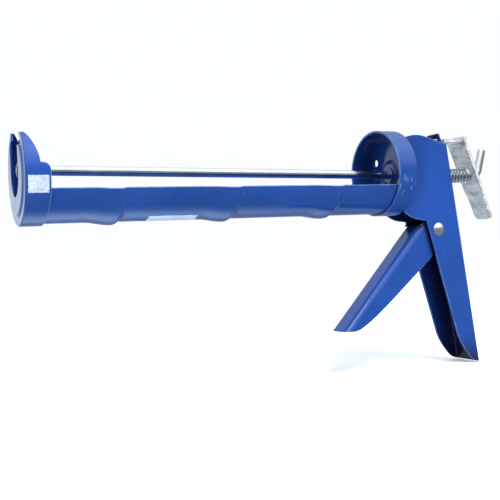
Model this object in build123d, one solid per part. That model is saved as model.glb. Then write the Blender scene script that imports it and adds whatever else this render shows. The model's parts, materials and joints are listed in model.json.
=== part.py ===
from build123d import *
from math import radians, sqrt, tan
import os

# Half-barrel caulking gun for 300 ml cartridges, in millimetres.
# Origin: barrel axis at the front face of the nozzle yoke. +X points back along the barrel
# to the handle, +Z up, and the handle hangs towards -Z. Left and right are -Y and +Y.

# ---- driving sizes: barrel ----
CARTRIDGE_ROOM = 229.3      # front face of the yoke to the inside of the rear cup's plate
TROUGH_R_IN = 24.2          # cradle's inner radius, for a 48 mm cartridge
SHEET = 1.0                 # sheet of the trough and the front cap
CUP_SHEET = 1.2             # sheet of the rear cup
FRAME_SHEET = 1.2           # sheet of the handle frame and the trigger
SLEEVE_GAP = 0.1            # paint gap where a ring slips over the trough
TROUGH_EDGE_ANGLE = 20.7    # how far the trough's lips stop below the axis, degrees
CAP_SKIRT_LENGTH = 12.4
SKIRT_TOE_LENGTH = 11.0     # skirt's length at its lowest point
SKIRT_SWEEP = ((12.1, -17.2), (12.4, -2.8))         # x, z that the skirt's edge sweeps through
SKIRT_STEP = (7.6, 6.8)     # x, z where the skirt steps back to the ears
SKIRT_CORNER_R = 3.8
EAR_SWEEP = ((6.5, 12.4), (4.0, 18.2))
EAR_TOP_LENGTH = 1.6
CUP_DEPTH = 13.2
BOSS_R = 8.6                # dish pressed round the rod hole, at the cup's rear face
BOSS_FLOOR_R = 6.2
BOSS_HEIGHT = 1.4           # how far the dish stands into the cup
RIB_HEIGHT = 1.7
RIB_RISE = 15.0             # long front slope of a swaged rib
RIB_FALL = 4.5              # short rear slope
RIB_COUNT = 3
FIRST_RIB_X = 47.5
LAST_RIB_GAP = 40.3         # last rib's crest to the cup's front edge

# ---- nozzle yoke ----
NOZZLE_SLOT_R = 11.3
YOKE_STEP = 0.8             # how far the middle of the yoke stands forward
YOKE_STEP_R = 20.2
YOKE_RIM_R = 22.2           # inside of the flat rim
YOKE_ARM_TOP = 15.0
EAR_TOP = 21.3
CAP_TURN = 7.0              # the cap was pressed on a little turned, degrees
CAP_CORNER_R = 0.9

# ---- push rod and plunger ----
ROD_R = 2.6
ROD_TILT = 0.8              # droop in the loose guide hole, degrees
ROD_GUIDE_Z = -0.8          # rod height at the rear cup
ROD_PLAY = 0.3              # radial play of the plates that ride on the rod
BUSH_PLAY = 0.08
ROD_HOOK_LEAN = 16.0
ROD_HOOK_HEIGHT = 17.5
ROD_BEND_R = 6.0
HOOK_CORNER = 68.2          # rear cup plate to the corner of the hook
ROD_TIP_CHAMFER = 0.5
SPIGOT_R = 2.0
SPIGOT_PAST_NUT = 0.4
PLUNGER_R = 16.5
PLUNGER_SHEET = 1.2
PLUNGER_RIM = 4.0
PLUNGER_FRONT_X = 2.3
PLUNGER_NUT_THICK = 1.7
PLUNGER_NUT_R = 3.9                 # to the nut's corners
PLUNGER_WASHER_R = 7.0
PLUNGER_WASHER_THICK = 1.2

# ---- handle frame ----
FRAME_WIDTH = 22.5
FRAME_BEND_R = 2.4
FRAME_TOP_BACK = (36.0, 18.3)       # x from the cup's rear face, z
FRAME_TOE = (54.4, -122.6)
FRAME_TOE_SWEEP = (44.9, -117.0)
FRAME_FRONT_TOP = (16.6, -30.5)
FRAME_FRONT_LOW = (36.7, -102.4)
FRAME_THROAT = (6.5, -28.6)
FRAME_CROWN = ((13.0, 23.2), (29.5, 18.9))
FRAME_MEETS_CUP = (20.4, -24.6)     # highest and lowest z at the cup
FLANGE_REACH = 5.8
FLANGE_TOP = 3.0
FLANGE_BOTTOM = -14.0
TAB_HALF_WIDTH = 5.5
TAB_ROOT = 3.0                      # how far the tab starts below the web's top
TAB_KNEE = 2.6
TAB_RISE = 7.0
TAB_LEAN = 1.6                      # how far the tab's top is bent forward

# ---- trigger and its pivot ----
PIVOT = (25.8, -36.4)               # x from the cup's rear face, z
PIVOT_R = 2.5
PIVOT_HEAD_R = 4.3
PIVOT_HEAD_HEIGHT = 1.6
PIVOT_PLAY = 0.08
PIVOT_WASHER_R = 5.0
PIVOT_SLEEVE_WALL = 1.5
SIDE_GAP = 0.3
TRIGGER_WIDTH = 17.0
TRIGGER_BEND_R = 4.5
TRIGGER_TOE = (-46.0, -95.6)        # x from the cup's rear face, z
TRIGGER_WEB_TOP = (13.5, -33.4)
TRIGGER_BACK = ((15.2, -58.4), (-5.0, -74.4), (-27.6, -91.0), (-37.0, -95.5))
TRIGGER_HEEL = (7.2, -3.0)          # corners behind the pivot, measured from it
TRIGGER_SHOULDER = (6.6, 5.0)
TRIGGER_NECK = 12.0                 # where the arms' front edge turns up, below the pin
TRIGGER_NOSE_WALL = 1.9
DRIVE_PIN_R = 2.0
DRIVE_PIN_Z = -12.0
DRIVE_PIN_HEAD = 0.6
DRIVE_PIN_HEAD_WALL = 0.7

# ---- drive plate and springs ----
DRIVE_PLATE_X = 20.0                # front face from the cup's rear face
DRIVE_PLATE_THICK = 3.0
DRIVE_PLATE_TOP = 13.5
DRIVE_PLATE_BOTTOM = -17.0
DRIVE_PLATE_CORNER_R = 3.0
DRIVE_PLATE_SIDE_GAP = 0.4
PIN_GAP = 0.3
SPRING_WIRE_R = 0.55
SPRING_COIL_R = 4.15                # to the middle of the wire
DRIVE_SPRING_TURNS = 6
RELEASE_SPRING_TURNS = 7
SPRING_SEAT_R = 6.0
DRIVE_SEAT_LAND = 0.9               # how far the drive spring's seat laps past the dish
SPRING_SEAT_THICK = 0.8
SPRING_END_GAP = 0.1
RELEASE_SPRING_GAP = 0.3            # to the release plate's slope

# ---- release plate ----
RELEASE_THICK = 2.0
RELEASE_HALF_WIDTH = 8.2
RELEASE_LOW_HALF_WIDTH = 7.1
RELEASE_TOP = (54.0, 20.2)          # rear face, x from the cup's rear face, z
RELEASE_SLOPE = 0.40                # run in x per unit of drop
RELEASE_BOTTOM_Z = -30.5
RELEASE_STEP_Z = -14.5
RELEASE_LIP = 3.2
RELEASE_CORNER_R = 3.5
RELEASE_SWING = 5.0                 # degrees from gripping to free
RELEASE_SWING_STEPS = 4
TONGUE_HALF_WIDTH = 2.6
TONGUE_Z = 19.6                     # underside of the tongue
TONGUE_PAST_WEB = 1.6
TONGUE_GAP = 0.6
SHELF_HALF_WIDTH = 6.5              # wide part of the tongue, behind the web
SHELF_GAP = 1.2

# ---- small parts ----
RIVET_R = 1.6
RIVET_HEAD_R = 3.0
RIVET_HEAD_HEIGHT = 1.1
RIVET_HEAD_TOP_R = 2.2
RIVET_TAIL_R = 2.55
RIVET_TAIL_HEIGHT = 0.9
RIVET_SIDE_GAP = 3.05       # rivet's centre to the cheek
RIVET_ZS = (-2.0, -10.0)
CUP_HOLE_R = 2.35
CUP_HOLE = (15.5, 8.3)              # y and z of the two spare holes
BUSH_WALL = 0.9
BUSH_FLANGE_LAP = 1.2       # flange past the sleeve
BUSH_FLANGE_THICK = 0.8
BUSH_SEAT_GAP = 0.1
LABEL_THICK = 0.15
LABEL_LIFT = 0.02
COLLAR_LABEL_X = (1.3, 11.4)
COLLAR_LABEL_ANGLES = (6.0, 25.0)
TROUGH_LABEL_GAPS = (14.0, 3.3)         # from the first rib, and to the second
TROUGH_LABEL_ANGLES = (66.0, 101.0)

# ---- sizes worked out from the values above ----
TROUGH_R = TROUGH_R_IN + SHEET
CAP_R_IN = TROUGH_R + SLEEVE_GAP
CAP_R = CAP_R_IN + SHEET
CUP_R_IN = TROUGH_R + SLEEVE_GAP
CUP_R = CUP_R_IN + CUP_SHEET
CUP_BACK = CARTRIDGE_ROOM + CUP_SHEET
CUP_FRONT = CUP_BACK - CUP_DEPTH
RIB_PITCH = (CUP_FRONT - LAST_RIB_GAP - FIRST_RIB_X) / (RIB_COUNT - 1)
FRAME_INNER = FRAME_WIDTH - 2 * FRAME_SHEET
RIVET_Y = FRAME_WIDTH / 2 + RIVET_SIDE_GAP
WEB_SLOPE = (FRAME_TOE[0] - FRAME_TOP_BACK[0]) / (FRAME_TOP_BACK[1] - FRAME_TOE[1])
WEB_DEPTH = FRAME_SHEET * sqrt(1 + WEB_SLOPE ** 2)
RELEASE_DEPTH = RELEASE_THICK * sqrt(1 + RELEASE_SLOPE ** 2)
DRIVE_PLATE_HALF_WIDTH = TRIGGER_WIDTH / 2 - FRAME_SHEET - DRIVE_PLATE_SIDE_GAP
BUSH_R = ROD_R + BUSH_PLAY + BUSH_WALL
DRIVE_SEAT_R = BOSS_R + DRIVE_SEAT_LAND
DRIVE_SEAT_START = SPRING_END_GAP + DRIVE_SEAT_R * tan(radians(ROD_TILT))
TROUGH_START = SHEET + SLEEVE_GAP
TROUGH_END = CARTRIDGE_ROOM - SLEEVE_GAP
FAR = 400.0                 # longer than anything here, for cutting tools


def web_x(z):
    """Rear face of the frame's web at height z, measured from the cup's rear face."""
    return FRAME_TOP_BACK[0] + WEB_SLOPE * (FRAME_TOP_BACK[1] - z)


def release_x(z):
    """Rear face of the release plate at height z, measured from the cup's rear face."""
    return RELEASE_TOP[0] + RELEASE_SLOPE * (RELEASE_TOP[1] - z)


def at_cup(point):
    """Turn a point measured from the cup's rear face into barrel coordinates."""
    return (CUP_BACK + point[0], point[1])


def side_plate(outline, width):
    """Extrude a closed side-view outline, given as a face in XY, to both sides of Y = 0."""
    return extrude(Plane.XZ * outline, amount=width / 2, both=True)


def side_polygon(points, width):
    return side_plate(make_face(Polyline(*points, close=True)), width)


def along_x(shape, x=0.0, y=0.0, z=0.0):
    """Lay a shape built on +Z along +X and move it."""
    return Pos(x, y, z) * Rot(0, 90, 0) * shape


def across_y(radius, length, x, z, y=0.0):
    """Cylinder whose axis runs along Y, centred at the given place."""
    return Pos(x, y, z) * Rot(90, 0, 0) * Cylinder(radius, length)


def on_rod(shape):
    """Place a shape built about the X axis on the drooping rod, x = 0 at the cup's rear face."""
    return Pos(CUP_BACK, 0, ROD_GUIDE_Z) * Rot(0, ROD_TILT, 0) * shape


def rod_cylinder(radius, start, end):
    return on_rod(along_x(Cylinder(radius, end - start), (start + end) / 2))


def rod_z(x):
    """Height of the rod's axis at a distance x behind the cup's rear face."""
    return ROD_GUIDE_Z - x * tan(radians(ROD_TILT))


def ribbed_line(radius):
    """Side line of the trough at a radius: straight runs, and a long rise and short fall per rib."""
    lines = []
    x = TROUGH_START
    for rib in range(RIB_COUNT):
        crest = FIRST_RIB_X + rib * RIB_PITCH
        foot = crest - RIB_RISE
        heel = crest + RIB_FALL
        lines.append(Line((x, radius), (foot, radius)))
        top = (crest, radius + RIB_HEIGHT)
        lines.append(Spline((foot, radius), top, tangents=[(1, 0), (1, 0)]))
        lines.append(Spline(top, (heel, radius), tangents=[(1, 0), (1, 0)]))
        x = heel
    lines.append(Line((x, radius), (TROUGH_END, radius)))
    return lines


def barrel_trough():
    outer = ribbed_line(TROUGH_R)
    inner = ribbed_line(TROUGH_R_IN)
    front = Line((TROUGH_START, TROUGH_R_IN), (TROUGH_START, TROUGH_R))
    back = Line((TROUGH_END, TROUGH_R_IN), (TROUGH_END, TROUGH_R))
    profile = make_face(outer + inner + [front, back])
    start = Rot(180 + TROUGH_EDGE_ANGLE, 0, 0) * profile
    return revolve(start, Axis.X, 180 - 2 * TROUGH_EDGE_ANGLE)


def cap_side():
    """Side view of the cap: the skirt is long under the barrel and steps back to two short ears."""
    toe = (SKIRT_TOE_LENGTH, -CAP_R)
    below = (SKIRT_TOE_LENGTH, -2 * CAP_R)
    widest = SKIRT_SWEEP[-1]
    turn = (widest[0], SKIRT_STEP[1] - SKIRT_CORNER_R)
    step = (widest[0] - SKIRT_CORNER_R, SKIRT_STEP[1])
    ear = (EAR_TOP_LENGTH, EAR_TOP)
    return make_face(
        [
            Line(below, toe),
            Spline(toe, *SKIRT_SWEEP, tangents=[(0.2, 1), (0, 1)]),
            Line(widest, turn),
            RadiusArc(turn, step, -SKIRT_CORNER_R),
            Line(step, SKIRT_STEP),
            Spline(SKIRT_STEP, *EAR_SWEEP, ear, tangents=[(-0.05, 1), (-1, 1)]),
            Polyline(ear, (-FAR, EAR_TOP), (-FAR, -2 * CAP_R), below),
        ]
    )


def front_cap():
    front = -YOKE_STEP
    wall = [
        (front, 0),
        (front, YOKE_STEP_R),
        (0, YOKE_RIM_R),
        (0, CAP_R),
        (CAP_SKIRT_LENGTH, CAP_R),
        (CAP_SKIRT_LENGTH, CAP_R_IN),
        (SHEET, CAP_R_IN),
        (SHEET, YOKE_RIM_R),
        (front + SHEET, YOKE_STEP_R),
        (front + SHEET, 0),
    ]
    profile = make_face(Polyline(*wall, close=True))
    corner = profile.vertices().sort_by_distance((0, CAP_R, 0))[0]
    profile = fillet(corner, CAP_CORNER_R)
    cap = revolve(profile, Axis.X, 360)
    cap = cap & side_plate(cap_side(), 4 * CAP_R)
    arm_trim = along_x(Cylinder(YOKE_RIM_R, 2 * CAP_R))
    arm_trim = arm_trim & Pos(0, 0, YOKE_ARM_TOP + CAP_R) * Box(4 * CAP_R, 4 * CAP_R, 2 * CAP_R)
    cap = Rot(CAP_TURN, 0, 0) * (cap - arm_trim)
    slot = along_x(Cylinder(NOZZLE_SLOT_R, 2 * CAP_R))
    slot = slot + Pos(0, 0, CAP_R) * Box(2 * CAP_R, 2 * NOZZLE_SLOT_R, 2 * CAP_R)
    return cap - slot


def rear_cup():
    wall = [
        (CUP_FRONT, CUP_R),
        (CUP_BACK, CUP_R),
        (CUP_BACK, BOSS_R),
        (CUP_BACK - BOSS_HEIGHT, BOSS_FLOOR_R),
        (CUP_BACK - BOSS_HEIGHT, 0),
        (CARTRIDGE_ROOM - BOSS_HEIGHT, 0),
        (CARTRIDGE_ROOM - BOSS_HEIGHT, BOSS_FLOOR_R),
        (CARTRIDGE_ROOM, BOSS_R),
        (CARTRIDGE_ROOM, CUP_R_IN),
        (CUP_FRONT, CUP_R_IN),
    ]
    profile = make_face(Polyline(*wall, close=True))
    corner = profile.vertices().sort_by_distance((CUP_BACK, CUP_R, 0))[0]
    profile = fillet(corner, CUP_SHEET * 0.95)
    cup = revolve(profile, Axis.X, 360)
    cup = cup - rod_cylinder(BUSH_R, -CUP_DEPTH, CUP_DEPTH)
    for side in (-1, 1):
        cup = cup - cup_drill(CUP_HOLE_R, side * CUP_HOLE[0], CUP_HOLE[1])
        for z in RIVET_ZS:
            cup = cup - cup_drill(RIVET_R, side * RIVET_Y, z)
    return cup


def cup_drill(radius, y, z):
    """Drill through the cup's plate and the flanges behind it."""
    return along_x(Cylinder(radius, CUP_DEPTH), CUP_BACK, y, z)


def rod_guide_bush():
    face = -CUP_SHEET - BOSS_HEIGHT
    front = face - BUSH_FLANGE_THICK
    sleeve = rod_cylinder(BUSH_R, front, -BUSH_SEAT_GAP)
    flange = rod_cylinder(BUSH_R + BUSH_FLANGE_LAP, front, face - BUSH_SEAT_GAP)
    return sleeve + flange - rod_cylinder(ROD_R + BUSH_PLAY, -CUP_DEPTH, CUP_DEPTH)


def cup_rivets():
    tail = CUP_BACK + FRAME_SHEET
    rivets = []
    for side in (-1, 1):
        for z in RIVET_ZS:
            y = side * RIVET_Y
            shank = along_x(Cylinder(RIVET_R, tail - CARTRIDGE_ROOM), (CARTRIDGE_ROOM + tail) / 2, y, z)
            head = Cone(RIVET_HEAD_TOP_R, RIVET_HEAD_R, RIVET_HEAD_HEIGHT)
            head = along_x(head, CARTRIDGE_ROOM - RIVET_HEAD_HEIGHT / 2, y, z)
            upset = along_x(Cylinder(RIVET_TAIL_R, RIVET_TAIL_HEIGHT), tail + RIVET_TAIL_HEIGHT / 2, y, z)
            rivets.append(shank + head + upset)
    return Compound(children=rivets)


def frame_outline():
    top_back = at_cup(FRAME_TOP_BACK)
    toe = at_cup(FRAME_TOE)
    front_low = at_cup(FRAME_FRONT_LOW)
    front_top = at_cup(FRAME_FRONT_TOP)
    top_front = at_cup((0, FRAME_MEETS_CUP[0]))
    low_front = at_cup((0, FRAME_MEETS_CUP[1]))
    up_the_front = (front_top[0] - front_low[0], front_top[1] - front_low[1])
    crown = [at_cup(point) for point in FRAME_CROWN]
    return make_face(
        [
            Spline(top_front, *crown, top_back, tangents=[(1, 0.45), (1, -0.02)]),
            Line(top_back, toe),
            Spline(toe, at_cup(FRAME_TOE_SWEEP), front_low, tangents=[(-1, 0.05), up_the_front]),
            Line(front_low, front_top),
            Spline(front_top, at_cup(FRAME_THROAT), low_front, tangents=[(-1, 0.12), (-1, 0.75)]),
            Line(low_front, top_front),
        ]
    )


def web_edge(solid, half_width, inset=0.0):
    """The long edge of a solid that runs down the web on one side."""
    z = (FRAME_TOP_BACK[1] + FRAME_TOE[1]) / 2
    return solid.edges().sort_by_distance((CUP_BACK + web_x(z) - inset, half_width, z))[0]


def handle_frame():
    shell = side_plate(frame_outline(), FRAME_WIDTH)
    hollow_top = (CUP_BACK + web_x(FAR) - WEB_DEPTH, FAR)
    hollow_low = (CUP_BACK + web_x(-FAR) - WEB_DEPTH, -FAR)
    hollow = side_polygon([hollow_top, hollow_low, (0, -FAR), (0, FAR)], FRAME_INNER)
    for side in (-1, 1):
        shell = fillet(web_edge(shell, side * FRAME_WIDTH / 2), FRAME_BEND_R)
        hollow = fillet(web_edge(hollow, side * FRAME_INNER / 2, WEB_DEPTH), FRAME_BEND_R - FRAME_SHEET)
    frame = shell - hollow + web_tab()
    for side in (-1, 1):
        flange = Box(FRAME_SHEET, FLANGE_REACH, FLANGE_TOP - FLANGE_BOTTOM)
        y = side * (FRAME_WIDTH + FLANGE_REACH) / 2
        frame = frame + Pos(CUP_BACK + FRAME_SHEET / 2, y, (FLANGE_TOP + FLANGE_BOTTOM) / 2) * flange
        for z in RIVET_ZS:
            frame = frame - cup_drill(RIVET_R, side * RIVET_Y, z)
    frame = frame - across_y(PIVOT_R, 2 * FRAME_WIDTH, *at_cup(PIVOT))
    return frame - rod_cylinder(ROD_R + ROD_PLAY, DRIVE_PLATE_X, HOOK_CORNER)


def web_tab():
    """Tongue of the web that rises above the cheeks, with the slot that holds the release plate."""
    root_z = FRAME_TOP_BACK[1] - TAB_ROOT
    knee_z = FRAME_TOP_BACK[1] + TAB_KNEE
    back = [
        at_cup((web_x(root_z), root_z)),
        at_cup((web_x(knee_z), knee_z)),
        at_cup((web_x(knee_z) - TAB_LEAN, FRAME_TOP_BACK[1] + TAB_RISE)),
    ]
    front = [(x - WEB_DEPTH, z) for x, z in reversed(back)]
    tab = side_polygon(back + front, 2 * TAB_HALF_WIDTH)
    slot = Box(4 * WEB_DEPTH, 2 * (TONGUE_HALF_WIDTH + TONGUE_GAP), RELEASE_THICK + 2 * TONGUE_GAP)
    return tab - Pos(CUP_BACK + web_x(TONGUE_Z), 0, TONGUE_Z + RELEASE_THICK / 2) * slot


def domed_head():
    """Low dome standing on the XY plane."""
    ball_r = (PIVOT_HEAD_R ** 2 + PIVOT_HEAD_HEIGHT ** 2) / (2 * PIVOT_HEAD_HEIGHT)
    ball = Pos(0, 0, PIVOT_HEAD_HEIGHT - ball_r) * Sphere(ball_r)
    return ball & Pos(0, 0, ball_r) * Box(2 * ball_r, 2 * ball_r, 2 * ball_r)


def trigger_rivet():
    x, z = at_cup(PIVOT)
    rivet = across_y(PIVOT_R, FRAME_WIDTH, x, z)
    for side in (-1, 1):
        rivet = rivet + Pos(x, side * FRAME_WIDTH / 2, z) * Rot(-90 * side, 0, 0) * domed_head()
    return rivet


def pivot_washers():
    """Thin washers on the rivet that centre the trigger between the frame's cheeks."""
    x, z = at_cup(PIVOT)
    thick = (FRAME_INNER - TRIGGER_WIDTH) / 2 - SIDE_GAP
    washers = []
    for side in (-1, 1):
        y = side * (FRAME_INNER - thick) / 2
        washers.append(across_y(PIVOT_WASHER_R, thick, x, z, y) - across_y(PIVOT_R, 2 * thick, x, z, y))
    return Compound(children=washers)


def pivot_sleeve():
    x, z = at_cup(PIVOT)
    length = TRIGGER_WIDTH - 2 * FRAME_SHEET
    bore = PIVOT_R + PIVOT_PLAY
    return across_y(bore + PIVOT_SLEEVE_WALL, length, x, z) - across_y(bore, length * 2, x, z)


def drive_pin_place():
    return at_cup((DRIVE_PLATE_X + DRIVE_PLATE_THICK + PIN_GAP + DRIVE_PIN_R, DRIVE_PIN_Z))


def trigger_outline():
    """Side view of the trigger: a long tapering grip, and arms that reach up to the drive pin."""
    toe = at_cup(TRIGGER_TOE)
    web_top = at_cup(TRIGGER_WEB_TOP)
    pin_x, pin_z = drive_pin_place()
    nose = DRIVE_PIN_R + TRIGGER_NOSE_WALL
    front = (pin_x - nose, pin_z)
    neck = (pin_x - nose, pin_z - TRIGGER_NECK)
    rear = (pin_x + nose, pin_z)
    heel = at_cup((PIVOT[0] + TRIGGER_HEEL[0], PIVOT[1] + TRIGGER_HEEL[1]))
    shoulder = at_cup((PIVOT[0] + TRIGGER_SHOULDER[0], PIVOT[1] + TRIGGER_SHOULDER[1]))
    back = [at_cup(point) for point in TRIGGER_BACK]
    return make_face(
        [
            Line(toe, web_top),
            Spline(web_top, neck, front, tangents=[(1, 0.9), (0, 1)]),
            ThreePointArc(front, (pin_x, pin_z + nose), rear),
            Line(rear, shoulder),
            Line(shoulder, heel),
            Spline(heel, *back, toe, tangents=[(-0.55, -1), (-1, -0.02)]),
        ]
    )


def trigger_bar(width, nose_r, inset):
    """Long bar along the trigger's front face, with its two front edges rounded."""
    toe = at_cup(TRIGGER_TOE)
    web_top = at_cup(TRIGGER_WEB_TOP)
    run = Vector(web_top[0] - toe[0], 0, web_top[1] - toe[1]).normalized()
    inward = Vector(run.Z, 0, -run.X)
    section = Pos(inset + FAR / 2, 0) * Rectangle(FAR, width)
    section = fillet(section.vertices().sort_by(Axis.X)[:2], nose_r)
    base = Plane(origin=(toe[0], 0, toe[1]), x_dir=inward, z_dir=run)
    return extrude(base * section, amount=FAR, both=True)


def trigger():
    split_z = TRIGGER_WEB_TOP[1]
    above = Pos(CUP_BACK, 0, split_z + FAR / 2) * Box(FAR, FAR, FAR)
    below = Pos(CUP_BACK, 0, split_z - FAR / 2) * Box(FAR, FAR, FAR)
    plate = side_plate(trigger_outline(), TRIGGER_WIDTH)
    inner = TRIGGER_WIDTH - 2 * FRAME_SHEET
    grip = plate & below & trigger_bar(TRIGGER_WIDTH, TRIGGER_BEND_R, 0)
    grip = grip - trigger_bar(inner, TRIGGER_BEND_R - FRAME_SHEET, FRAME_SHEET)
    arms = (plate & above) - Box(FAR * 2, inner, FAR * 2)
    body = grip + arms
    body = body - across_y(PIVOT_R + PIVOT_PLAY, 2 * TRIGGER_WIDTH, *at_cup(PIVOT))
    return body - across_y(DRIVE_PIN_R, 2 * TRIGGER_WIDTH, *drive_pin_place())


def drive_pin():
    x, z = drive_pin_place()
    pin = across_y(DRIVE_PIN_R, TRIGGER_WIDTH + 2 * DRIVE_PIN_HEAD, x, z)
    for side in (-1, 1):
        y = side * (TRIGGER_WIDTH + DRIVE_PIN_HEAD) / 2
        pin = pin + across_y(DRIVE_PIN_R + DRIVE_PIN_HEAD_WALL, DRIVE_PIN_HEAD, x, z, y)
    return pin


def push_rod():
    front = PLUNGER_FRONT_X + PLUNGER_SHEET + PLUNGER_WASHER_THICK - CUP_BACK
    lean = radians(ROD_HOOK_LEAN)
    top = (HOOK_CORNER + ROD_HOOK_HEIGHT * tan(lean), 0, ROD_HOOK_HEIGHT)
    path = FilletPolyline((front, 0, 0), (HOOK_CORNER, 0, 0), top, radius=ROD_BEND_R)
    section = Plane(origin=(front, 0, 0), z_dir=(1, 0, 0)) * Circle(ROD_R)
    rod = sweep(section, path=path)
    tip = rod.faces().sort_by(Axis.Z)[-1]
    rod = chamfer(tip.edges(), ROD_TIP_CHAMFER)
    spigot_length = PLUNGER_SHEET + PLUNGER_WASHER_THICK + PLUNGER_NUT_THICK + SPIGOT_PAST_NUT
    spigot = along_x(Cylinder(SPIGOT_R, spigot_length), front - spigot_length / 2)
    return on_rod(rod + spigot)


def plunger_x(offset):
    """Place along the rod, from the cup's rear face, at a distance behind the plunger's face."""
    return PLUNGER_FRONT_X + offset - CUP_BACK


def plunger_disc():
    start = plunger_x(0)
    wall = [
        (start, SPIGOT_R),
        (start, PLUNGER_R),
        (start + PLUNGER_RIM, PLUNGER_R),
        (start + PLUNGER_RIM, PLUNGER_R - PLUNGER_SHEET),
        (start + PLUNGER_SHEET, PLUNGER_R - PLUNGER_SHEET),
        (start + PLUNGER_SHEET, SPIGOT_R),
    ]
    profile = make_face(Polyline(*wall, close=True))
    corner = profile.vertices().sort_by_distance((start, PLUNGER_R, 0))[0]
    profile = fillet(corner, PLUNGER_SHEET * 0.9)
    return on_rod(revolve(profile, Axis.X, 360))


def plunger_washer():
    start = plunger_x(PLUNGER_SHEET)
    end = start + PLUNGER_WASHER_THICK
    return rod_cylinder(PLUNGER_WASHER_R, start, end) - rod_cylinder(SPIGOT_R, start, end)


def plunger_nut():
    start = plunger_x(-PLUNGER_NUT_THICK)
    nut = on_rod(along_x(extrude(RegularPolygon(PLUNGER_NUT_R, 6), amount=PLUNGER_NUT_THICK), start))
    return nut - rod_cylinder(SPIGOT_R, start, start + PLUNGER_NUT_THICK)


def drive_plate():
    x = DRIVE_PLATE_X + DRIVE_PLATE_THICK / 2
    height = DRIVE_PLATE_TOP - DRIVE_PLATE_BOTTOM
    blank = Box(DRIVE_PLATE_THICK, 2 * DRIVE_PLATE_HALF_WIDTH, height)
    blank = fillet(blank.edges().filter_by(Axis.X), DRIVE_PLATE_CORNER_R)
    middle = (DRIVE_PLATE_TOP + DRIVE_PLATE_BOTTOM) / 2 - ROD_GUIDE_Z
    hole = along_x(Cylinder(ROD_R + ROD_PLAY, 2 * DRIVE_PLATE_THICK), x)
    return on_rod(Pos(x, 0, middle) * blank - hole)


def spring(start, end, turns):
    """Compression spring round the rod; its wire's middle runs from start to end."""
    length = end - start
    helix = Helix(length / turns, length, SPRING_COIL_R)
    section = Plane(origin=helix @ 0, z_dir=helix % 0) * Circle(SPRING_WIRE_R)
    return on_rod(along_x(sweep(section, path=helix, is_frenet=True), start))


def spring_seat(start, radius):
    end = start + SPRING_SEAT_THICK
    return rod_cylinder(radius, start, end) - rod_cylinder(ROD_R + ROD_PLAY, start, end)


def drive_spring_seat():
    return spring_seat(DRIVE_SEAT_START, DRIVE_SEAT_R)


def drive_spring():
    clear = SPRING_WIRE_R + SPRING_END_GAP
    return spring(DRIVE_SEAT_START + SPRING_SEAT_THICK + clear, DRIVE_PLATE_X - clear, DRIVE_SPRING_TURNS)


def release_seat_start():
    """First place behind the sloping web where a flat seat of this size is clear of it."""
    return web_x(rod_z(FRAME_TOP_BACK[0]) - SPRING_SEAT_R) + SPRING_END_GAP


def release_spring_seat():
    return spring_seat(release_seat_start(), SPRING_SEAT_R)


def release_spring():
    start = release_seat_start() + SPRING_SEAT_THICK + SPRING_WIRE_R + SPRING_END_GAP
    coil_top = rod_z(RELEASE_TOP[0]) + SPRING_COIL_R + SPRING_WIRE_R
    end = release_x(coil_top) - RELEASE_DEPTH - SPRING_WIRE_R - RELEASE_SPRING_GAP
    return spring(start, end, RELEASE_SPRING_TURNS)


def release_hinge():
    """Hinge line of the release plate: the middle of the web's slot."""
    return (CUP_BACK + web_x(TONGUE_Z) - WEB_DEPTH / 2, TONGUE_Z + RELEASE_THICK / 2)


def release_slab(z_high, z_low, half_width):
    """Stretch of the sloping release plate between two heights."""
    rear_high = CUP_BACK + release_x(z_high)
    rear_low = CUP_BACK + release_x(z_low)
    points = [
        (rear_high, z_high),
        (rear_low, z_low),
        (rear_low - RELEASE_DEPTH, z_low),
        (rear_high - RELEASE_DEPTH, z_high),
    ]
    return side_polygon(points, 2 * half_width)


def release_tongue(start, half_width):
    """Level strip from a place before or behind the web back to the release plate."""
    length = RELEASE_TOP[0] - RELEASE_DEPTH / 2 - start
    strip = Box(length, 2 * half_width, RELEASE_THICK)
    return Pos(CUP_BACK + start + length / 2, 0, TONGUE_Z + RELEASE_THICK / 2) * strip


def release_plate():
    top_z = RELEASE_TOP[1]
    upper = release_slab(top_z, RELEASE_STEP_Z, RELEASE_HALF_WIDTH)
    lower = release_slab(RELEASE_STEP_Z, RELEASE_BOTTOM_Z, RELEASE_LOW_HALF_WIDTH)
    foot = Vector(CUP_BACK + release_x(RELEASE_BOTTOM_Z) - RELEASE_DEPTH / 2, 0, RELEASE_BOTTOM_Z)
    for side in (-1, 1):
        corner = lower.edges().sort_by_distance(foot + Vector(0, side * RELEASE_LOW_HALF_WIDTH, 0))[0]
        lower = fillet(corner, RELEASE_CORNER_R)
    lip = Box(RELEASE_DEPTH, 2 * RELEASE_HALF_WIDTH, RELEASE_LIP)
    lip = Pos(CUP_BACK + RELEASE_TOP[0] - RELEASE_DEPTH / 2, 0, top_z + RELEASE_LIP / 2) * lip
    tongue = release_tongue(web_x(TONGUE_Z) - WEB_DEPTH - TONGUE_PAST_WEB, TONGUE_HALF_WIDTH)
    shelf = release_tongue(web_x(TONGUE_Z) + SHELF_GAP, SHELF_HALF_WIDTH)
    plate = upper + lower + lip + tongue + shelf
    hinge_x, hinge_z = release_hinge()
    rod_way = rod_cylinder(ROD_R + ROD_PLAY, FRAME_TOP_BACK[0], HOOK_CORNER)
    for step in range(RELEASE_SWING_STEPS + 1):
        turn = -RELEASE_SWING * step / RELEASE_SWING_STEPS
        plate = plate - Pos(hinge_x, 0, hinge_z) * Rot(0, turn, 0) * Pos(-hinge_x, 0, -hinge_z) * rod_way
    return plate


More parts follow.
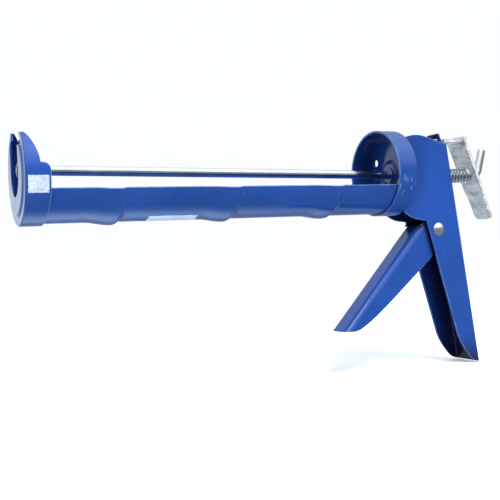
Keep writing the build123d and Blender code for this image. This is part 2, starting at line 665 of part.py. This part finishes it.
def curved_label(radius, x_range, angles):
    """Thin sticker on a round wall; angles are below the horizontal on the left side."""
    start, end = x_range
    low = radius + LABEL_LIFT
    high = low + LABEL_THICK
    strip = make_face(Polyline((start, low), (end, low), (end, high), (start, high), close=True))
    return revolve(Rot(180 + angles[0], 0, 0) * strip, Axis.X, angles[1] - angles[0])


def collar_label():
    return curved_label(CAP_R, COLLAR_LABEL_X, COLLAR_LABEL_ANGLES)


def trough_label():
    start = FIRST_RIB_X + RIB_FALL + TROUGH_LABEL_GAPS[0]
    end = FIRST_RIB_X + RIB_PITCH - RIB_RISE - TROUGH_LABEL_GAPS[1]
    return curved_label(TROUGH_R, (start, end), TROUGH_LABEL_ANGLES)


NODES = {
    "barrel_trough": barrel_trough,
    "front_cap": front_cap,
    "rear_cup": rear_cup,
    "rod_guide_bush": rod_guide_bush,
    "handle_frame": handle_frame,
    "cup_rivets": cup_rivets,
    "trigger_rivet": trigger_rivet,
    "pivot_washers": pivot_washers,
    "trigger": trigger,
    "pivot_sleeve": pivot_sleeve,
    "drive_pin": drive_pin,
    "push_rod": push_rod,
    "plunger_disc": plunger_disc,
    "plunger_washer": plunger_washer,
    "plunger_nut": plunger_nut,
    "drive_plate": drive_plate,
    "drive_spring": drive_spring,
    "drive_spring_seat": drive_spring_seat,
    "release_plate": release_plate,
    "release_spring": release_spring,
    "release_spring_seat": release_spring_seat,
    "collar_label": collar_label,
    "trough_label": trough_label,
}

os.makedirs("parts", exist_ok=True)
for name, make in NODES.items():
    export_step(make(), f"parts/{name}.step")
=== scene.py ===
import json
import math

import bpy
from mathutils import Matrix, Vector, noise


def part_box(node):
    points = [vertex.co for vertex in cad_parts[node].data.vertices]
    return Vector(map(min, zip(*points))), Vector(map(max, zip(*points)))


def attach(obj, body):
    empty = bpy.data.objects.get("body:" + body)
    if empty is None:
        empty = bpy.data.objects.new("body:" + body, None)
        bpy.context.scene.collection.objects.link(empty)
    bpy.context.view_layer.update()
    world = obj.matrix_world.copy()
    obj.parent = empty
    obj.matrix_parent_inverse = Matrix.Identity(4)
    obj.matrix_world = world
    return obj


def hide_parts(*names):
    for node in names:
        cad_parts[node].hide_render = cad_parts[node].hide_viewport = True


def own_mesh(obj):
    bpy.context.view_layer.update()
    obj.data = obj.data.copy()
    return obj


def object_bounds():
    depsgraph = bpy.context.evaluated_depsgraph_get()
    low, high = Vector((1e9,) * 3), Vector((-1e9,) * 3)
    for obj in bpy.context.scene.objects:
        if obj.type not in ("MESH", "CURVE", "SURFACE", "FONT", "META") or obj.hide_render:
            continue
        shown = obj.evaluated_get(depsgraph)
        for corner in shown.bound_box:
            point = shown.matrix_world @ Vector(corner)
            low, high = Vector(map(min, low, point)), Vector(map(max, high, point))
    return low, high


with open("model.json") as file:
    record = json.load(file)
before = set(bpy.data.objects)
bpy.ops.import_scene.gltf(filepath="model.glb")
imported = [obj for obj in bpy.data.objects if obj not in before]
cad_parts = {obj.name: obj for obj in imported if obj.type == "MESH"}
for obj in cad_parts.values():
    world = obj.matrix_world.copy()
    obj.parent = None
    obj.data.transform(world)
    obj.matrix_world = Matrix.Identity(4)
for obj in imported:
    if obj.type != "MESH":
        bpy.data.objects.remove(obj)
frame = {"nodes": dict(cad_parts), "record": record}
cad_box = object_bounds()
nodes = frame["nodes"]

MM = 0.001


# ---------------------------------------------------------------- node helpers

RAY_SAMPLES = 6             # of the bevel and recess nodes
FLAT_COSINE = 0.995         # between true and rounded normal: no edge down to this
EDGE_COSINE = 0.85          # and a full edge from this
DEEP_OPENNESS = 0.50        # what the recess node gives where a recess is full
FREE_OPENNESS = 0.95        # and where it ends


class NodeTree:
    """A node tree, with short calls for the nodes used here."""

    def __init__(self, tree):
        self.tree = tree

    def node(self, kind, **values):
        made = self.tree.nodes.new(kind)
        for key, value in values.items():
            setattr(made, key, value)
        return made

    def link(self, source, target):
        self.tree.links.new(source, target)

    def feed(self, value, socket):
        """Set a socket to a number or a colour, or link it to another node's output."""
        if isinstance(value, (int, float)):
            socket.default_value = value
        elif isinstance(value, tuple):
            socket.default_value = (*value, 1.0)
        else:
            self.link(value, socket)

    def mix(self, factor, first, second):
        """The first colour where the factor is 0, the second where it is 1."""
        made = self.node("ShaderNodeMix", data_type="RGBA")
        self.feed(factor, made.inputs["Factor"])
        self.feed(first, made.inputs[6])
        self.feed(second, made.inputs[7])
        return made.outputs[2]

    def math(self, operation, first, second):
        made = self.node("ShaderNodeMath", operation=operation)
        self.feed(first, made.inputs[0])
        self.feed(second, made.inputs[1])
        return made.outputs[0]

    def spread(self, source, low, high, to_low=0.0, to_high=1.0, interpolation="LINEAR"):
        """Low to high in the source becomes to_low to to_high, and no further."""
        made = self.node("ShaderNodeMapRange", interpolation_type=interpolation)
        ends = {"From Min": low, "From Max": high, "To Min": to_low, "To Max": to_high}
        for name, value in ends.items():
            made.inputs[name].default_value = value
        self.link(source, made.inputs["Value"])
        return made.outputs["Result"]

    def axes(self, source):
        split = self.node("ShaderNodeSeparateXYZ")
        self.link(source, split.inputs[0])
        return split.outputs


class Shader(NodeTree):
    """A material's node tree. Scales of patterns are per metre, in the row frame."""

    def __init__(self, name):
        self.material = bpy.data.materials.new(name)
        self.material.use_nodes = True
        super().__init__(self.material.node_tree)
        self.bsdf = self.tree.nodes["Principled BSDF"]
        self.coord = self.node("ShaderNodeTexCoord").outputs["Object"]

    def set(self, **values):
        for key, value in values.items():
            self.bsdf.inputs[key.replace("_", " ")].default_value = value

    def stretched(self, scale, turn=(0.0, 0.0, 0.0)):
        mapping = self.node("ShaderNodeMapping")
        mapping.inputs["Scale"].default_value = scale
        mapping.inputs["Rotation"].default_value = turn
        self.link(self.coord, mapping.inputs["Vector"])
        return mapping.outputs["Vector"]

    def noise(self, scale, detail, rough, along=None):
        made = self.node("ShaderNodeTexNoise")
        made.inputs["Scale"].default_value = scale
        made.inputs["Detail"].default_value = detail
        made.inputs["Roughness"].default_value = rough
        self.link(self.coord if along is None else along, made.inputs["Vector"])
        return made.outputs["Fac"]

    def streaks(self, scale, detail, rough, turn=(0.0, 0.0, 0.0)):
        """Noise with its own scale along each axis."""
        return self.noise(1, detail, rough, self.stretched(scale, turn))

    def cells(self, scale, output="Distance"):
        made = self.node("ShaderNodeTexVoronoi")
        made.inputs["Scale"].default_value = scale
        self.link(self.coord, made.inputs["Vector"])
        return made.outputs[output]

    def rounded(self, radius):
        """Normal of the surface as if its edges were rounded."""
        bevel = self.node("ShaderNodeBevel", samples=RAY_SAMPLES)
        bevel.inputs["Radius"].default_value = radius
        return bevel.outputs["Normal"]

    def edges(self, radius):
        """0 on open surface, 1 where the sheet turns over an edge."""
        facing = self.node("ShaderNodeVectorMath", operation="DOT_PRODUCT")
        self.link(self.rounded(radius), facing.inputs[0])
        self.link(self.node("ShaderNodeNewGeometry").outputs["Normal"], facing.inputs[1])
        return self.spread(facing.outputs["Value"], FLAT_COSINE, EDGE_COSINE)

    def recess_shade(self, reach):
        """0 on open surface, 1 deep inside a channel or a cup; the mask for painted shade."""
        shade = self.node("ShaderNodeAmbientOcclusion", samples=RAY_SAMPLES)
        shade.inputs["Distance"].default_value = reach
        return self.spread(shade.outputs["AO"], DEEP_OPENNESS, FREE_OPENNESS, 1.0, 0.0)

    def near(self, place, inner, outer):
        """1 round a place in the row frame, fading to 0."""
        gap = self.node("ShaderNodeVectorMath", operation="DISTANCE")
        self.link(self.coord, gap.inputs[0])
        gap.inputs[1].default_value = place
        return self.spread(gap.outputs["Value"], inner, outer, 1.0, 0.0)

    def bump(self, height, strength, depth, below=None):
        made = self.node("ShaderNodeBump")
        made.inputs["Strength"].default_value = strength
        made.inputs["Distance"].default_value = depth
        self.link(height, made.inputs["Height"])
        if below is not None:
            self.link(below, made.inputs["Normal"])
        return made.outputs["Normal"]

    def finish(self, color, rough=None, normal=None, metal=None):
        sockets = {"Base Color": color, "Roughness": rough, "Normal": normal, "Metallic": metal}
        for name, source in sockets.items():
            if source is not None:
                self.link(source, self.bsdf.inputs[name])
        return self.material


# ---------------------------------------------------------------- materials

ENAMEL_DEEP = (0.005, 0.034, 0.166)
ENAMEL_LIGHT = (0.007, 0.043, 0.214)
ENAMEL_DUST = (0.05, 0.12, 0.42)
ENAMEL_RECESS_SHADE = (0.004, 0.002, 0.022)
ENAMEL_THIN_PAINT_AND_HIGHLIGHT = (0.30, 0.46, 0.95)
ENAMEL_SCUFF = (0.30, 0.42, 0.78)
ENAMEL_EDGE_R = 0.45 * MM
RECESS_SHADE_REACH = 22 * MM
CUP_RECESS_SHADE = 0.32           # share of the painted recess shade in the cup and all before it
CHANNEL_RECESS_SHADE = 0.96       # and in the channels behind it
RECESS_SHADE_FADE = 4 * MM        # from the one to the other
SCUFF_CORE_R = 4 * MM
SCUFF_END_R = 9 * MM

cup_low, cup_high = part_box("rear_cup")
RING_SCUFF = ((cup_low.x + cup_high.x) / 2, cup_low.y + 2 * MM, -8 * MM)


def enamel_scuffs(s):
    """A few short strokes on the near side of the ring, and rare light specks anywhere."""
    strokes = s.streaks((1300, 160, 130), detail=1, rough=0.5, turn=(0.0, 0.55, 0.0))
    ring_side = s.near(RING_SCUFF, SCUFF_CORE_R, SCUFF_END_R)
    strokes = s.math("MULTIPLY", s.spread(strokes, 0.66, 0.69, 0.0, 0.6), ring_side)
    specks = s.spread(s.cells(420), 0.05, 0.09, 1.0, 0.0)
    rare = s.spread(s.noise(55, detail=2, rough=0.5), 0.60, 0.66, 0.0, 0.5)
    return s.math("MAXIMUM", strokes, s.math("MULTIPLY", specks, rare))


def blue_enamel():
    """Dipped gloss enamel: orange peel, slow sags, thin paint on edges lightened into a painted highlight,
    painted shade in recesses, and scuffs.
    """
    s = Shader("blue_enamel")
    tone = s.spread(s.noise(22, detail=3, rough=0.55), 0.35, 0.65)
    color = s.mix(tone, ENAMEL_DEEP, ENAMEL_LIGHT)
    dust = s.spread(s.noise(900, detail=4, rough=0.7), 0.62, 0.85, 0.0, 0.2)
    color = s.mix(dust, color, ENAMEL_DUST)

    # painted shade: recesses darkened to near-black violet, lightly in the cup and heavily in the channels
    # behind it
    recess_shade = s.recess_shade(RECESS_SHADE_REACH)
    along = s.axes(s.coord)["X"]
    depth = s.spread(along, cup_high.x, cup_high.x + RECESS_SHADE_FADE, CUP_RECESS_SHADE, CHANNEL_RECESS_SHADE)
    color = s.mix(s.math("MULTIPLY", recess_shade, depth), color, ENAMEL_RECESS_SHADE)

    # thin paint on the sheet edges, made light enough to also serve as a painted highlight along them
    patchy = s.spread(s.noise(140, detail=5, rough=0.65), 0.33, 0.58, 0.35, 1.0)
    thin_paint_and_highlight = s.math("MULTIPLY", s.edges(ENAMEL_EDGE_R), patchy)
    thin_paint_and_highlight = s.math("MULTIPLY", thin_paint_and_highlight, s.math("SUBTRACT", 1.0, recess_shade))
    color = s.mix(thin_paint_and_highlight, color, ENAMEL_THIN_PAINT_AND_HIGHLIGHT)

    scuffs = enamel_scuffs(s)
    color = s.mix(scuffs, color, ENAMEL_SCUFF)
    rough = s.spread(s.noise(70, detail=4, rough=0.6), 0.3, 0.7, 0.10, 0.22)
    rough = s.math("ADD", rough, s.math("MULTIPLY", scuffs, 0.3))

    sags = s.noise(40, detail=2, rough=0.45)
    peel = s.noise(420, detail=2, rough=0.5)
    normal = s.bump(sags, 0.30, 1.3 * MM, s.rounded(ENAMEL_EDGE_R))
    normal = s.bump(peel, 0.10, 0.35 * MM, normal)
    s.set(IOR=1.52, Coat_Weight=0.3, Coat_Roughness=0.06)
    return s.finish(color, rough, normal)


ZINC_BRIGHT = (0.92, 0.94, 0.97)
ZINC_CLOUD = (0.70, 0.72, 0.76)
ZINC_SPOT = (0.30, 0.30, 0.33)
ROD_END_SHADE = (0.05, 0.05, 0.08)
ROD_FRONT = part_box("push_rod")[0].x
ROD_SHADE_LENGTH = 4 * MM
ROD_SHADE_FADE = 2 * MM


def drawn_zinc():
    """Bright zinc over drawn steel: streaks along the rod, small dull spots and painted shade on the front
    end.
    """
    s = Shader("drawn_zinc")
    clouds = s.spread(s.noise(60, detail=4, rough=0.6), 0.35, 0.7)
    color = s.mix(clouds, ZINC_BRIGHT, ZINC_CLOUD)
    spots = s.spread(s.noise(380, detail=3, rough=0.7), 0.62, 0.72, 0.0, 0.6)
    color = s.mix(spots, color, ZINC_SPOT)

    # painted shade: the rod's front end, inside the plunger slot, darkened
    end = ROD_FRONT + ROD_SHADE_LENGTH
    front_end_shade = s.spread(s.axes(s.coord)["X"], end, end + ROD_SHADE_FADE, 1.0, 0.0)
    color = s.mix(front_end_shade, color, ROD_END_SHADE)

    drawn = s.streaks((14, 900, 900), detail=4, rough=0.6)
    rough = s.spread(drawn, 0.3, 0.7, 0.08, 0.24)
    normal = s.bump(drawn, 0.22, 0.12 * MM, s.rounded(0.2 * MM))
    s.set(Metallic=1.0)
    return s.finish(color, rough, normal)


SPANGLE_LIGHT = (0.88, 0.88, 0.88)
SPANGLE_DARK = (0.70, 0.70, 0.71)
SHEET_SMEAR = (0.26, 0.26, 0.29)
SHEET_PIT = (0.12, 0.12, 0.14)
SHEET_EDGE = (0.07, 0.07, 0.09)


def galvanised():
    """Galvanised sheet: soft spangle, smears, dark pits and cut edges under a dull zinc bloom."""
    s = Shader("galvanised")
    spangle = s.spread(s.cells(260, output="Color"), 0.1, 0.9)
    color = s.mix(spangle, SPANGLE_LIGHT, SPANGLE_DARK)
    smear = s.spread(s.streaks((60, 90, 320), detail=4, rough=0.65), 0.48, 0.70, 0.0, 0.75)
    color = s.mix(smear, color, SHEET_SMEAR)
    color = s.mix(s.spread(s.cells(700), 0.06, 0.14, 0.6, 0.0), color, SHEET_PIT)
    color = s.mix(s.spread(s.edges(0.7 * MM), 0.15, 0.5, 0.0, 0.75), color, SHEET_EDGE)

    rough = s.spread(s.noise(120, detail=4, rough=0.6), 0.3, 0.7, 0.34, 0.58)
    metal = s.spread(s.noise(90, detail=3, rough=0.6), 0.35, 0.65, 0.45, 0.85)
    normal = s.bump(s.noise(300, detail=4, rough=0.6), 0.35, 0.2 * MM, s.rounded(0.3 * MM))
    return s.finish(color, rough, normal, metal)


WIRE_BRIGHT = (0.74, 0.75, 0.78)
WIRE_FILM = (0.40, 0.40, 0.43)


def spring_wire():
    """Zinc-plated wire with a patchy greyer film."""
    s = Shader("spring_wire")
    film = s.noise(260, detail=4, rough=0.6)
    color = s.mix(s.spread(film, 0.35, 0.68), WIRE_BRIGHT, WIRE_FILM)
    rough = s.spread(film, 0.3, 0.7, 0.18, 0.38)
    s.set(Metallic=1.0)
    return s.finish(color, rough, s.bump(s.noise(900, detail=3, rough=0.6), 0.2, 0.06 * MM))


OIL_LIGHT = (0.10, 0.10, 0.12)
OIL_DARK = (0.03, 0.03, 0.045)
OIL_WORN = (0.20, 0.21, 0.23)
HARDWARE_RECESS_SHADE = (0.008, 0.008, 0.012)
HARDWARE_EDGE_R = 0.25 * MM
HARDWARE_SHADE_REACH = 8 * MM


def oiled_steel():
    """Hardened plate and small hardware with a dark oil film, and painted shade in recesses."""
    s = Shader("oiled_steel")
    film = s.spread(s.noise(90, detail=5, rough=0.62), 0.35, 0.68)
    color = s.mix(film, OIL_LIGHT, OIL_DARK)
    color = s.mix(s.math("MULTIPLY", s.edges(HARDWARE_EDGE_R), 0.5), color, OIL_WORN)
    # painted shade: recesses darkened to near-black
    color = s.mix(s.recess_shade(HARDWARE_SHADE_REACH), color, HARDWARE_RECESS_SHADE)

    rough = s.spread(s.streaks((900, 60, 60), detail=4, rough=0.6), 0.3, 0.7, 0.24, 0.46)
    grain = s.noise(500, detail=4, rough=0.6)
    s.set(Metallic=1.0)
    return s.finish(color, rough, s.bump(grain, 0.2, 0.08 * MM, s.rounded(HARDWARE_EDGE_R)))


FILM_LIGHT = (0.56, 0.62, 0.78)
FILM_DARK = (0.38, 0.44, 0.62)
FILM_DUST = (0.16, 0.19, 0.34)


def silver_film():
    """Blank sticker: pale silvery film with creases, clouded gloss and fine dark dust."""
    s = Shader("silver_film")
    cloud = s.noise(160, detail=4, rough=0.6)
    color = s.mix(s.spread(cloud, 0.35, 0.68), FILM_LIGHT, FILM_DARK)
    dust = s.spread(s.noise(1300, detail=3, rough=0.65), 0.55, 0.63, 0.0, 0.85)
    color = s.mix(dust, color, FILM_DUST)

    rough = s.spread(cloud, 0.3, 0.7, 0.22, 0.42)
    crease = s.streaks((260, 700, 380), detail=3, rough=0.55, turn=(0.6, 0.2, 0.4))
    s.set(Metallic=0.25)
    return s.finish(color, rough, s.bump(crease, 0.35, 0.12 * MM))


MATERIALS = {
    "blue_paint": blue_enamel(),
    "bright_steel": drawn_zinc(),
    "galvanised": galvanised(),
    "spring_steel": spring_wire(),
    "plain_steel": oiled_steel(),
    "label": silver_film(),
}

for part in frame["record"]["subparts"]:
    for place in nodes[part["node"]].material_slots:
        place.material = MATERIALS[part["material_slot"]]


# ---------------------------------------------------------------- stickers

STICKER_FILM = 0.06 * MM
STICKER_CELLS = (40, 36)    # along the barrel and round it
CREASE_WAVES = (2.2, 3.1)   # along the barrel and round it
CREASE_FRACTAL = (0.8, 2.0, 3)
CURL_FALLOFF = 4            # how closely the curl keeps to the corners


def sticker(node, name, crease, curl):
    """Thin creased film in the place of a plain CAD label; its size is read from that label."""
    points = [v.co for v in nodes[node].data.vertices]
    low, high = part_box(node)
    reaches = [math.hypot(p.y, p.z) for p in points]
    radius, limit = min(reaches), max(reaches) - STICKER_FILM
    angles = [math.atan2(p.z, p.y) % (2 * math.pi) for p in points]
    first, last = min(angles), max(angles)

    own_creases = radius * 1000     # so that no two stickers crease alike
    columns, rows = STICKER_CELLS
    verts = []
    for i in range(columns + 1):
        for j in range(rows + 1):
            u, v = i / columns, j / rows
            place = Vector((u * CREASE_WAVES[0], v * CREASE_WAVES[1], own_creases))
            wave = noise.fractal(place, *CREASE_FRACTAL)
            corner = (abs(2 * u - 1) * abs(2 * v - 1)) ** CURL_FALLOFF
            r = min(radius + crease * abs(wave) + curl * corner, limit)
            angle = first + (last - first) * v
            verts.append((low.x + (high.x - low.x) * u, r * math.cos(angle), r * math.sin(angle)))
    step = rows + 1
    faces = [
        (i * step + j, i * step + j + 1, (i + 1) * step + j + 1, (i + 1) * step + j)
        for i in range(columns)
        for j in range(rows)
    ]

    mesh = bpy.data.meshes.new(name)
    mesh.from_pydata(verts, [], faces)
    mesh.materials.append(MATERIALS["label"])
    mesh.shade_smooth()
    film = bpy.data.objects.new(name, mesh)
    bpy.context.scene.collection.objects.link(film)
    thicken = film.modifiers.new("thickness", "SOLIDIFY")
    thicken.thickness = STICKER_FILM
    thicken.offset = -1.0
    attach(film, "frame")
    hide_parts(node)


sticker("collar_label", "collar_sticker", crease=0.20 * MM, curl=0.35 * MM)
sticker("trough_label", "trough_sticker", crease=0.12 * MM, curl=0.30 * MM)


# ---------------------------------------------------------------- springs


def squeezed_spring(node, name):
    """The CAD spring's own coils, as a piece of its own on the frame."""
    spring = bpy.data.objects.new(name, nodes[node].data.copy())
    bpy.context.scene.collection.objects.link(spring)
    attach(spring, "frame")
    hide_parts(node)
    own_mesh(spring)


squeezed_spring("drive_spring", "drive_coil")

squeezed_spring("release_spring", "release_coil")


# ---------------------------------------------------------------- camera

CAMERA_AT = Vector((-66.88, -412.01, -43.35)) * MM
CAMERA_YAW = 0.4435         # radians to the right of +Y
CAMERA_PITCH = -0.0006
CAMERA_ROLL = -0.0483
CAMERA_LENS = 57.05         # mm, on a 36 mm sensor
CAMERA_SENSOR = 36.0


def add_camera():
    data = bpy.data.cameras.new("camera")
    data.lens = CAMERA_LENS
    data.sensor_width = CAMERA_SENSOR
    data.clip_start = 10 * MM
    camera = bpy.data.objects.new("camera", data)
    bpy.context.scene.collection.objects.link(camera)

    forward = Vector((
        math.sin(CAMERA_YAW) * math.cos(CAMERA_PITCH),
        math.cos(CAMERA_YAW) * math.cos(CAMERA_PITCH),
        math.sin(CAMERA_PITCH),
    ))
    level = Vector((math.cos(CAMERA_YAW), -math.sin(CAMERA_YAW), 0.0))
    upright = level.cross(forward)
    right = level * math.cos(CAMERA_ROLL) + upright * math.sin(CAMERA_ROLL)
    up = upright * math.cos(CAMERA_ROLL) - level * math.sin(CAMERA_ROLL)
    turn = Matrix((right, up, -forward)).transposed().to_4x4()
    camera.matrix_world = Matrix.Translation(CAMERA_AT) @ turn
    bpy.context.scene.camera = camera


# ---------------------------------------------------------------- floor

FLOOR_SIZE = 24.0
FLOOR_GAP = 0.5 * MM        # below the object's lowest point
FLOOR_TONES = (0.66, 0.69, 0.70), (0.68, 0.71, 0.72)
FLOOR_GLOW = (0.95, 0.98, 1.0, 1.0)


def floor_paper():
    """Pale paper that glows a little more with distance, so that it meets the backdrop's white."""
    s = Shader("floor_paper")
    s.set(Roughness=0.8, Emission_Color=FLOOR_GLOW)
    grain = s.spread(s.noise(30, detail=3, rough=0.5), 0.3, 0.7)
    away = s.node("ShaderNodeVectorMath", operation="LENGTH")
    s.link(s.coord, away.inputs[0])
    glow = s.spread(away.outputs["Value"], 0.4, 2.5, 0.30, 0.43)
    s.link(glow, s.bsdf.inputs["Emission Strength"])
    return s.finish(s.mix(grain, *FLOOR_TONES))


def add_floor():
    middle = [(a + b) / 2 for a, b in zip(*cad_box)]
    floor_z = cad_box[0][2] - FLOOR_GAP
    bpy.ops.mesh.primitive_plane_add(size=FLOOR_SIZE, location=(middle[0], middle[1], floor_z))
    floor = bpy.context.object
    floor.name = "floor"
    floor.data.materials.append(floor_paper())
    floor.visible_glossy = False


# ---------------------------------------------------------------- light

BACKDROP = (0.975, 0.995, 0.995)
STUDIO_TINT = (0.82, 0.91, 1.0)
LOW_TINT = (0.60, 0.84, 1.0)


def studio_light(w):
    """Brightness and tint of the studio by direction: a dim room, a bright sweep behind, soft boxes above."""
    direction = w.axes(w.node("ShaderNodeTexCoord").outputs["Generated"])
    x, y, z = direction["X"], direction["Y"], direction["Z"]

    def ramp(source, low, high, to_low, to_high):
        return w.spread(source, low, high, to_low, to_high, interpolation="SMOOTHSTEP")

    below = ramp(z, -0.88, -0.5, 1.9, 0.1)
    level = w.math("MULTIPLY", ramp(z, -0.25, 0.0, 0.0, 0.85), ramp(z, 0.05, 0.4, 1.0, 0.1))
    behind = w.math("MULTIPLY", ramp(y, -0.05, 0.6, 0.0, 1.0), ramp(x, 0.15, 0.75, 1.0, 0.15))
    sweep = w.math("MULTIPLY", behind, w.math("ADD", below, level))
    sweep = w.math("ADD", ramp(z, 0.62, 0.85, 0.0, 0.55), sweep)

    in_front = ramp(y, -0.35, 0.15, 1.0, 0.0)
    overhead = w.math("MULTIPLY", in_front, ramp(z, 0.12, 0.42, 0.0, 0.75))
    room = ramp(z, 0.1, 0.7, 0.26, 0.60)
    brightness = w.math("ADD", room, w.math("ADD", overhead, sweep))
    tint = w.mix(ramp(z, -0.85, -0.4, 1.0, 0.0), STUDIO_TINT, LOW_TINT)
    return brightness, tint


def add_world():
    """A plain pale backdrop to the eye, and the studio for light and reflections."""
    world = bpy.data.worlds.new("studio")
    bpy.context.scene.world = world
    world.use_nodes = True
    w = NodeTree(world.node_tree)
    backdrop = w.tree.nodes["Background"]
    w.feed(BACKDROP, backdrop.inputs["Color"])

    studio = w.node("ShaderNodeBackground")
    brightness, tint = studio_light(w)
    w.feed(brightness, studio.inputs["Strength"])
    w.feed(tint, studio.inputs["Color"])

    choose = w.node("ShaderNodeMixShader")
    w.link(w.node("ShaderNodeLightPath").outputs["Is Camera Ray"], choose.inputs[0])
    w.link(studio.outputs[0], choose.inputs[1])
    w.link(backdrop.outputs[0], choose.inputs[2])
    w.link(choose.outputs[0], w.tree.nodes["World Output"].inputs["Surface"])


def area_light(name, place, target, size, power, gloss):
    data = bpy.data.lights.new(name, "AREA")
    data.shape = "DISK"
    data.size = size
    data.energy = power
    lamp = bpy.data.objects.new(name, data)
    bpy.context.scene.collection.objects.link(lamp)
    lamp.location = place
    lamp.visible_glossy = gloss
    lamp.rotation_euler = (Vector(target) - Vector(place)).to_track_quat("-Z", "Y").to_euler()


bpy.context.scene.view_settings.view_transform = "Standard"
add_camera()
add_floor()
add_world()
area_light("key", place=(0.15, -0.85, 0.95), target=(0.12, 0, -0.02), size=0.7, power=26, gloss=False)
area_light("glint", place=(-0.25, -0.8, 0.75), target=(0.2, 0, 0.0), size=0.25, power=1.0, gloss=True)
